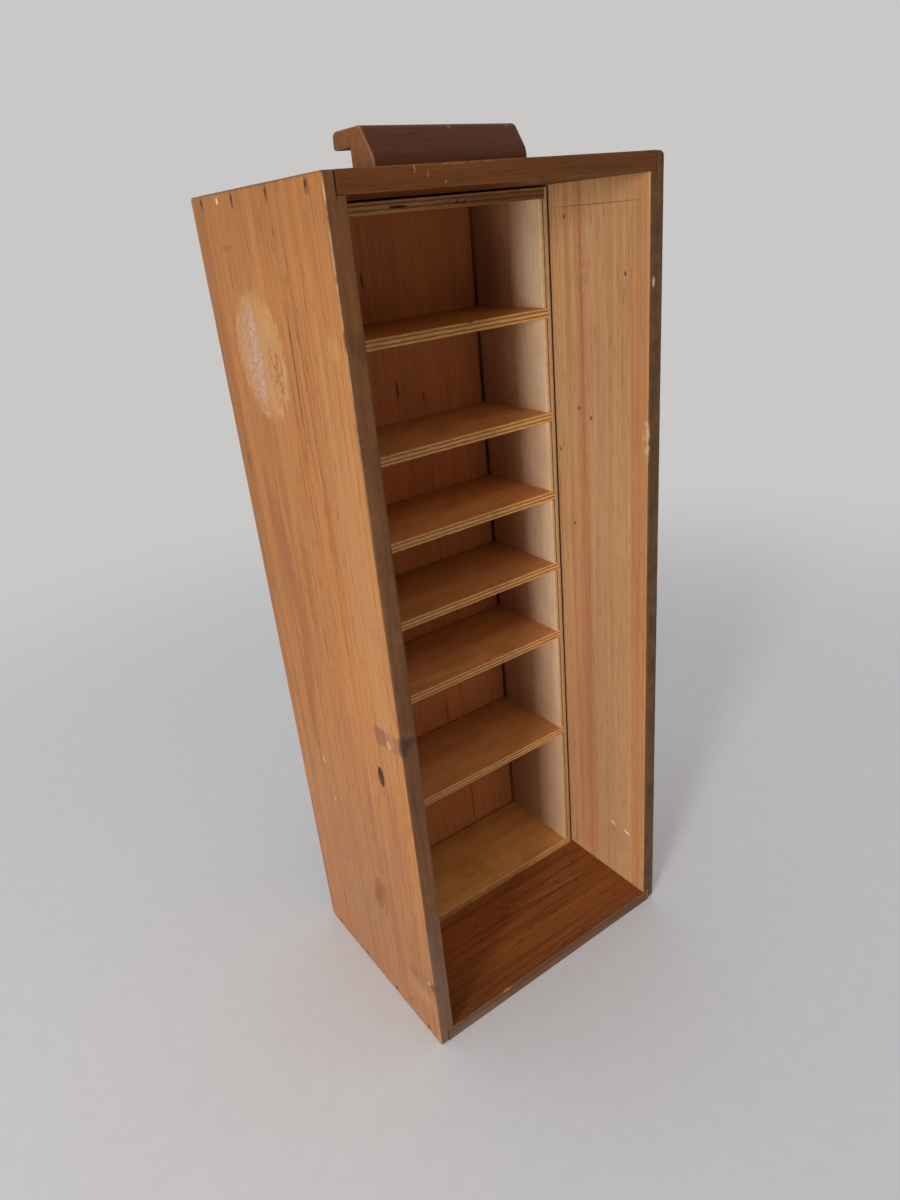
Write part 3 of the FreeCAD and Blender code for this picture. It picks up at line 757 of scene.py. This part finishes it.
frontPine = dict(
    cut="YZX", seed=12.0, heart=(-30, 90), ring=2.2, wander=6.0, lines=0.3,
    early="#6f3e17", late="#592f10", streak="#522c0f", streaks=0.35, shade=0.12,
    dashes=0.4, threads=0.12, rough=0.45, sheen=0.2, rub=0.5, bare="#93633f",
    marks=[
        jointLine(-92.5, 496, 0.6, 0.8), jointLine(92.5, 496, 0.6, 0.7),
        blot((-54.5, frontEdge, 498.5), (0.45, 2, 2.2), 0.6, "#a57e58", ragged=1),
        blot((-48, frontEdge, 496), (0.5, 2, 1.6), 0.55, "#a57e58", turn=(0, 12, 0), ragged=1),
        blot((-39, frontEdge, 492.7), (0.6, 2, 0.8), 0.5, "#a57e58", ragged=1),
        blot((-28, frontEdge, 499.5), (14, 2, 0.8), 0.5, "#a57e58", patchy=3),
    ],
)


def makeEnd(node, material, bored=()):
    low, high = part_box(node)
    board = startBoard(node + "_wood", low, high)
    for side, width in ((low.x, rounds["endLeft"]), (high.x, rounds["endRight"])):
        roundEdges(board, edgeAt(x=side), width, 2)
    for z in (low.z, high.z):
        roundEdges(board, edgeAt(y=low.y, z=z), rounds["endFront"], 3)
    gridCuts(low, high, cuts["step"], x=cuts["wide"], y=cuts["wide"], z=cuts["thin"])
    wearDown(board, low, high, wear)
    if bored:
        carve(board, [roundCutter(place, "z", holes["worm"], holes["wormDeep"]) for place in bored])
    rubArrises(board, low.y, 2, (low.z, high.z))
    finishPiece(board, node, material)


def makeBack():
    low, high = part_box("back_panel")
    board = startBoard("back_panel_wood", low, high)
    for y in (low.y, high.y):
        roundEdges(board, edgeAt(y=y), rounds["back"], 2)
    gridCuts(low, high, cuts["step"], x=cuts["wide"], z=cuts["wide"])
    wearDown(board, low, high, wear)
    carve(board, list(headCutters("back_pins", 1, max, high.y, holes["pin"])))
    finishPiece(board, "back_panel", pine("darkenedPineBack", backPine))


wormHoles = [Vector((x * mm, y * mm, bottomHigh.z)) for x, y in ((22.7, -15.4), (1, -18.5), (-26, -17))]
makeEnd("top_board", pine("stainedPineFront", frontPine))
makeEnd("bottom_board", pine("darkenedPineBottom", bottomPine), wormHoles)
makeBack()
print("end boards and back made")

pullShape = dict(stem=19.6 * mm, under=12.6 * mm, foot=6.5 * mm, bevel=9.6 * mm, nose=3.6 * mm,
                 ridge=2.0 * mm, cheek=2.5 * mm, lip=1.2 * mm, end=0.8 * mm, drop=1.2 * mm,
                 step=3 * mm, upStep=2.5 * mm, margins=(1.4 * mm, 3 * mm), long=50 * mm,
                 rubFrom=0.1 * mm, rubTo=1.1 * mm)
pullPine = dict(frontPine, seed=15.0, heart=(20, 520), ring=1.9, early="#5d3011", late="#492309",
                streak="#432008", rub=0.7, bare="#a87a52", faces=[
    dict(to=(side, 0, 0), cover=0.85, thin=0.2, dark="#734220", light="#91592e") for side in (-1, 1)
], marks=[
    blot((40, -20, 520), (1.2, 3, 3), 0.6, "#a98660", ragged=3, patchy=2),
    blot((4, -20, 519), (1.2, 2, 1.2), 0.5, "#92704f"),
])


def makePull():
    low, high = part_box("pull")
    stemHigh = high.copy()
    stemHigh.y = low.y + pullShape["stem"]
    pull = startBoard("pull_wood", low, stemHigh)
    under = low.z + pullShape["under"]
    sliceAll("z", (under,))
    pushOut(pull, lambda c, n: n.y > 0.9 and c.z > under, Vector((0, high.y - stemHigh.y, 0)))
    # the sloping front is sawn off, and the top is planed lower towards its right end
    foot = Vector((0, low.y, low.z + pullShape["foot"]))
    ridge = Vector((0, low.y + pullShape["bevel"], high.z))
    sawOff(pull, foot, axes["x"].cross(ridge - foot))
    sawOff(pull, Vector((low.x, 0, high.z)), Vector((pullShape["drop"], 0, high.x - low.x)))
    lowest = high.z - pullShape["drop"] - fit
    long = lambda a, b: abs(a.x - b.x) > pullShape["long"] and min(a.z, b.z) > lowest
    roundEdges(pull, lambda a, b: long(a, b) and max(a.y, b.y) < ridge.y + fit, pullShape["ridge"], 5)
    roundEdges(pull, lambda a, b: long(a, b) and min(a.y, b.y) > high.y - fit, pullShape["nose"], 5)
    roundEdges(pull, edgeAt(y=foot.y, z=foot.z), pullShape["cheek"], 5)
    roundEdges(pull, edgeAt(y=high.y, z=under), pullShape["lip"], 4)
    for side in (low.x, high.x):
        roundEdges(pull, edgeAt(x=side), pullShape["end"], 2)
    gridCuts(low, high, pullShape["step"], x=pullShape["margins"], y=pullShape["margins"])
    gridCuts(low, high, pullShape["upStep"], z=pullShape["margins"])
    wearDown(pull, low, high, wear)
    # only the round of each end is rubbed
    gaps = [min(point.co.x - low.x, high.x - point.co.x) for point in pull.data.vertices]
    rubs = [float(pullShape["rubFrom"] < gap < pullShape["rubTo"]) for gap in gaps]
    pull.data.attributes.new("rubbed", "FLOAT", "POINT").data.foreach_set("value", rubs)
    finishPiece(pull, "pull", pine("stainedPinePull", pullPine))


makePull()
print("pull made")

trayBoards = ["tray_bottom", "shelf_6", "shelf_5", "shelf_4", "shelf_3", "shelf_2", "shelf_1", "tray_top"]
trayWear = dict(wear, reach=1.6 * mm, dent=0.2 * mm)
lightPly, dullPly = "#efb46f", "#a3743c"
fivePlies = [(0.0, lightPly), (0.2, lightPly), (0.24, dullPly), (0.36, dullPly), (0.4, lightPly),
             (0.61, lightPly), (0.65, dullPly), (0.77, dullPly), (0.81, lightPly)]
threePlies = [(0.0, "#d6ad7c"), (0.3, "#d6ad7c"), (0.35, "#8a5a34"), (0.46, "#8a5a34"), (0.51, "#cdab82")]
# painted shade towards the back of the shelves, and a painted shadow of the box's left side over their left
# part
backShade = blot((0, 85, 250), (400, 82, 900), 0.5, "#6b4320", ragged=6, core=0.0, rim=1.0)
leftSideShadow = dict(backShade, at=(-95, 35, 250), size=(130, 400, 900), cover=0.25)
# a painted shadow line where the shelves and walls meet the back panel
backGapShadow = dict(backShade, at=(0, 67.9, 250), size=(900, 1.3, 900), cover=0.75, tone="#1a0d06", ragged=0.8,
                  core=0.4)
shelfPly = dict(cut="YZX", seed=20.0, face=(0, 0, 1), light="#f2b171", dark="#e29a54", stains=0.4,
                stain="#a96f3c", figure=0.35, plies=fivePlies, rough=0.5, sheen=0.25,
                # painted shade and shadow on the shelves
                marks=[backShade, leftSideShadow, backGapShadow])
wallPly = dict(cut="YXZ", seed=24.0, face=(1, 0, 0), light="#f0cea9", dark="#e4be97", stains=0.2,
               stain="#b88a62", figure=0.15, plies=threePlies, rough=0.55, sheen=0.2, marks=[
    blot((wallInside, 20, 40), (8, 90, 110), 0.3, "#a9713f", ragged=8, rim=1.6),
    # painted shade over the rear of the walls' inner faces, where the box's left side keeps the light off,
    # darker still at the back of the top room
    blot((wallInside, 66, 250), (8, 26, 300), 0.55, "#8f6038", ragged=6, rim=1.5),
    blot((wallInside, 62, 455), (8, 34, 40), 0.4, "#5a3a20", ragged=6, core=0.2),
    # painted shadow line at the walls' back corner
    backGapShadow])
topPly = dict(shelfPly, seed=33.0, marks=[
    blot((0, 2.5, 484), (160, 4, 8), 0.3, "#56301b", ragged=3),
    blot((70, 2.5, 484), (80, 4, 8), 0.75, "#56301b", ragged=3, core=0.2)])
dullShelf = dict(shelfPly, seed=38.0, light="#dda168", dark="#cd8d4d")
floorPly = dict(shelfPly, seed=28.0, light="#edb268", dark="#db9f52",
                # painted shade and shadow on the tray's floor
                marks=[dict(backShade, cover=0.33), leftSideShadow, backGapShadow])
# shelf 1 gets stronger painted shade, reaching further forward over its top
firstPly = dict(floorPly, marks=[dict(backShade, size=(400, 95, 900), cover=0.8), backGapShadow])


def markPlies(piece, axis, start, end):
    # how far through the sheet each point lies, 0 to 1
    share = piece.data.attributes.new("plyCut", "FLOAT", "POINT")
    for point, value in zip(piece.data.vertices, share.data):
        value.value = (point.co[axis] - start) / (end - start)


wallCuts = dict(step=5 * mm, margins=(0.8 * mm, 2 * mm))


# The walls: an outer ply the full height, with the rest standing on it between the housings.
def makeTrayWall(node, hand, material):
    low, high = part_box(node)
    deep = hand * (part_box("shelf_1")[1].x + fit)
    outer, room = (low.x, high.x) if hand < 0 else (high.x, low.x)
    wall = startLayer(node + "_ply", low, high, outer, deep)
    ledges = [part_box(name) for name in trayBoards]
    places = [height for bottom, top in ledges for height in (bottom.z - fit, top.z + fit)][1:-1]
    inside = lambda centre, normal: normal.x * hand < -0.9
    cutAcross(wall, "z", places, inside)
    spans = list(zip(places[::2], places[1::2]))
    pushOut(wall, lambda c, n: inside(c, n) and any(a < c.z < b for a, b in spans),
            Vector((room - deep, 0, 0)))
    roundEdges(wall, edgeAt(x=outer), rounds["ply"], 2)
    roundEdges(wall, edgeAt(x=room, y=low.y), rounds["ply"], 2)
    gridCuts(low, high, wallCuts["step"], z=wallCuts["margins"], y=wallCuts["margins"])
    wearDown(wall, low, high, trayWear)
    word, end = ("left", min) if hand < 0 else ("right", max)
    carve(wall, list(headCutters(f"tray_{word}_pins", 0, end, outer, holes["pin"])))
    markPlies(wall, 0, room, outer)
    finishPiece(wall, node, material)


makeTrayWall("tray_left_wall", -1, plywood("birchPlywoodLeftWall", wallPly))
makeTrayWall("tray_right_wall", 1, plywood("birchPlywoodRightWall", dict(wallPly, seed=31.0)))

shelfCuts = dict(step=4 * mm, margins=(1 * mm, 2 * mm), plyStep=2 * mm, plyMargins=(1 * mm,))
edgeGaps = {"tray_top": [(-15.9, 486.0, 5.6, 0.75), (21.8, 485.7, 1.6, 0.7), (26.4, 485.5, 1.5, 0.7)],
            "shelf_1": [(-23.7, 424.4, 2.2, 0.9), (24.4, 424.0, 2.6, 0.9)]}


def makeShelf():
    low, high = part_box("shelf_1")
    shelf = startBoard("shelfBlank", low, high)
    for z in (low.z, high.z):
        for y in (low.y, high.y):
            roundEdges(shelf, edgeAt(y=y, z=z), rounds["ply"], 2)
    gridCuts(low, high, shelfCuts["step"], x=shelfCuts["margins"], y=shelfCuts["margins"])
    gridCuts(low, high, shelfCuts["plyStep"], z=shelfCuts["plyMargins"])
    return shelf


blank = makeShelf()
goldenPly, dullPlywood = plywood("birchPlywoodGolden", shelfPly), plywood("birchPlywoodDull", dullShelf)
plyOf = {"tray_bottom": plywood("birchPlywoodFloor", floorPly),
         "shelf_1": plywood("birchPlywoodFirst", firstPly), "tray_top": plywood("birchPlywoodTop", topPly),
         "shelf_2": goldenPly, "shelf_3": goldenPly, "shelf_5": goldenPly}
splinters = random.Random(11)
for name in trayBoards:
    low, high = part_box(name)
    shelf = blank.copy()
    shelf.data = blank.data.copy()
    shelf.name = shelf.data.name = name + "_ply"
    bpy.context.scene.collection.objects.link(shelf)
    shelf.data.transform(Matrix.Translation((0, 0, low.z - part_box("shelf_1")[0].z)))
    wearDown(shelf, low, high, trayWear)
    gaps = edgeGaps.get(name, [])
    gaps = gaps + [(splinters.uniform(-70, 70), splinters.choice((low.z, high.z)) / mm,
                    splinters.uniform(0.8, 2.2), splinters.uniform(0.3, 0.6)) for count in range(4)]
    carve(shelf, [ovalCutter((x, low.y / mm, z), (long, 0.5 + long * tall, tall))
                  for x, z, long, tall in gaps])
    markPlies(shelf, 2, low.z, high.z)
    finishPiece(shelf, name, plyOf.get(name, dullPlywood))
bpy.data.objects.remove(blank)
print("tray made")

steel = oldSteel("blackenedSteelWire", dict(steel="#5a5049", rust="#5e3820", rustSize=1.5))
for name, node in frame["nodes"].items():
    if name.endswith(("nails", "pins", "screws")):
        node.data.materials.clear()
        node.data.materials.append(steel)
print("fasteners dressed")

cameraAt = dict(eye=(-0.26907, -0.39366, 0.47914), ahead=(0.49922, 0.75832, -0.41920),
                right=(0.80814, -0.58201, -0.09043), lens=24.807)


def makeCamera():
    bpy.ops.object.camera_add(location=cameraAt["eye"])
    camera = bpy.context.object
    ahead, right = Vector(cameraAt["ahead"]), Vector(cameraAt["right"])
    turn = Matrix((right, right.cross(ahead), -ahead)).transposed()
    camera.rotation_mode = "QUATERNION"
    camera.rotation_quaternion = turn.to_quaternion()
    camera.data.lens = cameraAt["lens"]
    camera.data.sensor_width = 36
    camera.data.clip_start = 0.01
    bpy.context.scene.camera = camera


makeCamera()

studio = dict(floor="#e4e5e7", floorLight="#e7e8ea", floorRough=0.8, floorSheen=0.1, floorReach=3.0,
              grit=90.0, fadeFrom=0.4, fadeTo=1.1, backdrop="#e9e7e6", shown=0.72, key=42.5,
              keyAt=(-2.136, -1.128, 0.5), keyAim=(0, 0, 0.25), keyWide=0.4, keyTall=1.0, below=0.4,
              around=0.09, above=1.1, beside=0.14, besideTo=(-0.875, -0.485, 0))


# A pale floor that fades into the backdrop, one tall soft light from the front left, and a dim room
def makeStudio():
    bpy.ops.mesh.primitive_plane_add(size=2 * studio["floorReach"])
    floor = bpy.context.object
    floor.name = "floor"
    material, add, shader = newMaterial("paleFloor")
    spot = add("TexCoord", out="Object")
    grit = add("TexNoise", {"Vector": spot, "Scale": studio["grit"], "Detail": 3.0})
    base = add("ValToRGB", {0: grit}, stops=[(0.3, studio["floor"]), (0.7, studio["floorLight"])])
    away = add("VectorMath", {0: spot}, out="Value", operation="LENGTH")
    fade = add("MapRange", {0: away, 1: studio["fadeFrom"], 2: studio["fadeTo"], 3: 1.0, 4: 0.0}, **smooth)
    plug(shader, {"Base Color": base, "Roughness": studio["floorRough"], "Alpha": fade,
                  "Specular IOR Level": studio["floorSheen"]})
    floor.data.materials.append(material)

    bpy.ops.object.light_add(type="AREA", location=studio["keyAt"])
    key = bpy.context.object
    key.name = "keyLight"
    away = Vector(studio["keyAt"]) - Vector(studio["keyAim"])
    key.rotation_euler = away.to_track_quat("Z", "Y").to_euler()
    key.data.shape = "RECTANGLE"
    key.data.size = studio["keyWide"]
    key.data.size_y = studio["keyTall"]
    key.data.energy = studio["key"]

    world = bpy.data.worlds.new("softRoom")
    bpy.context.scene.world = world
    world.use_nodes = True
    world.node_tree.nodes.clear()
    add = partial(addNode, world.node_tree)
    toSky = add("TexCoord", out="Generated")
    up = add("VectorMath", {0: toSky, 1: (0, 0, 1)}, out="Value", operation="DOT_PRODUCT")
    down = add("MapRange", {0: up, 1: -0.2, 2: 0.0, 3: studio["below"] - studio["around"], 4: 0.0})
    up = add("MapRange", {0: up, 1: 0.3, 2: 1.0, 3: studio["around"], 4: studio["above"]})
    up = add("Math", {0: up, 1: down}, operation="ADD")
    left = add("VectorMath", {0: toSky, 1: studio["besideTo"]}, out="Value", operation="DOT_PRODUCT")
    left = add("MapRange", {0: left, 1: 0.2, 2: 1.0, 3: 0.0, 4: studio["beside"]})
    light = add("Math", {0: up, 1: left}, operation="ADD")
    rays = add("LightPath", out=None).outputs
    seen = add("Math", {0: rays["Is Camera Ray"], 1: rays["Is Glossy Ray"]}, operation="MAXIMUM")
    seen = add("Math", {0: seen, 1: rays["Is Transmission Ray"]}, operation="MAXIMUM")
    level = add("Mix", {0: seen, 2: light, 3: studio["shown"]})
    glow = add("Background", {"Color": colour(studio["backdrop"]), "Strength": level})
    add("OutputWorld", {"Surface": glow}, out=None)


makeStudio()
bpy.context.scene.view_settings.view_transform = "Standard"
print("camera, floor and light set")
